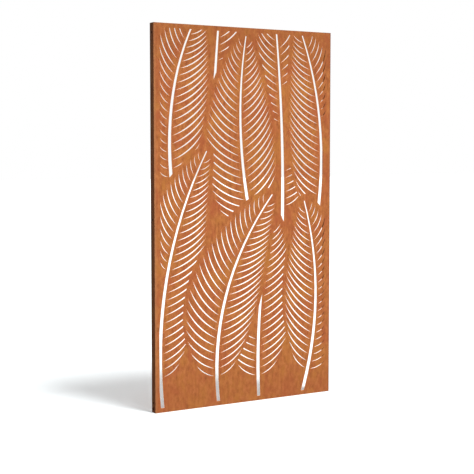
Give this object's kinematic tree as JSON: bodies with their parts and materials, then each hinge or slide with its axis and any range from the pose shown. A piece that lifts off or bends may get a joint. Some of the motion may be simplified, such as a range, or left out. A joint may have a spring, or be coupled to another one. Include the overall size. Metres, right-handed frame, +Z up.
{
  "type": "laser cut metal screen",
  "caption": "Tall flat steel screen: a laser cut face sheet with a fern pattern, welded to a frame of folded angles, with bolt holes in both sides.",
  "frame": {"origin": "middle of the base on the floor, half way across the width and half way through the depth", "axes": "+Z up along the height, +X to the right across the width as seen from the front, the face sheet at -Y"},
  "size_m": [1.1, 0.05, 2.05],
  "materials": {
    "face_steel": "matte bare weathering steel with an even orange-brown rust patina",
    "frame_steel": "matte bare weathering steel with a brown rust patina, darker than the face",
    "weld_metal": "matte weld bead in weathering steel, dark rust"
  },
  "bodies": {
    "root": {"face_sheet": "face_steel", "left_stile": "frame_steel", "right_stile": "frame_steel", "top_rail": "frame_steel", "bottom_rail": "frame_steel", "top_left_corner_weld": "weld_metal", "top_right_corner_weld": "weld_metal", "bottom_left_corner_weld": "weld_metal", "bottom_right_corner_weld": "weld_metal", "left_stitch_welds": "weld_metal", "right_stitch_welds": "weld_metal", "top_stitch_welds": "weld_metal", "bottom_stitch_welds": "weld_metal"}
  },
  "joints": []
}
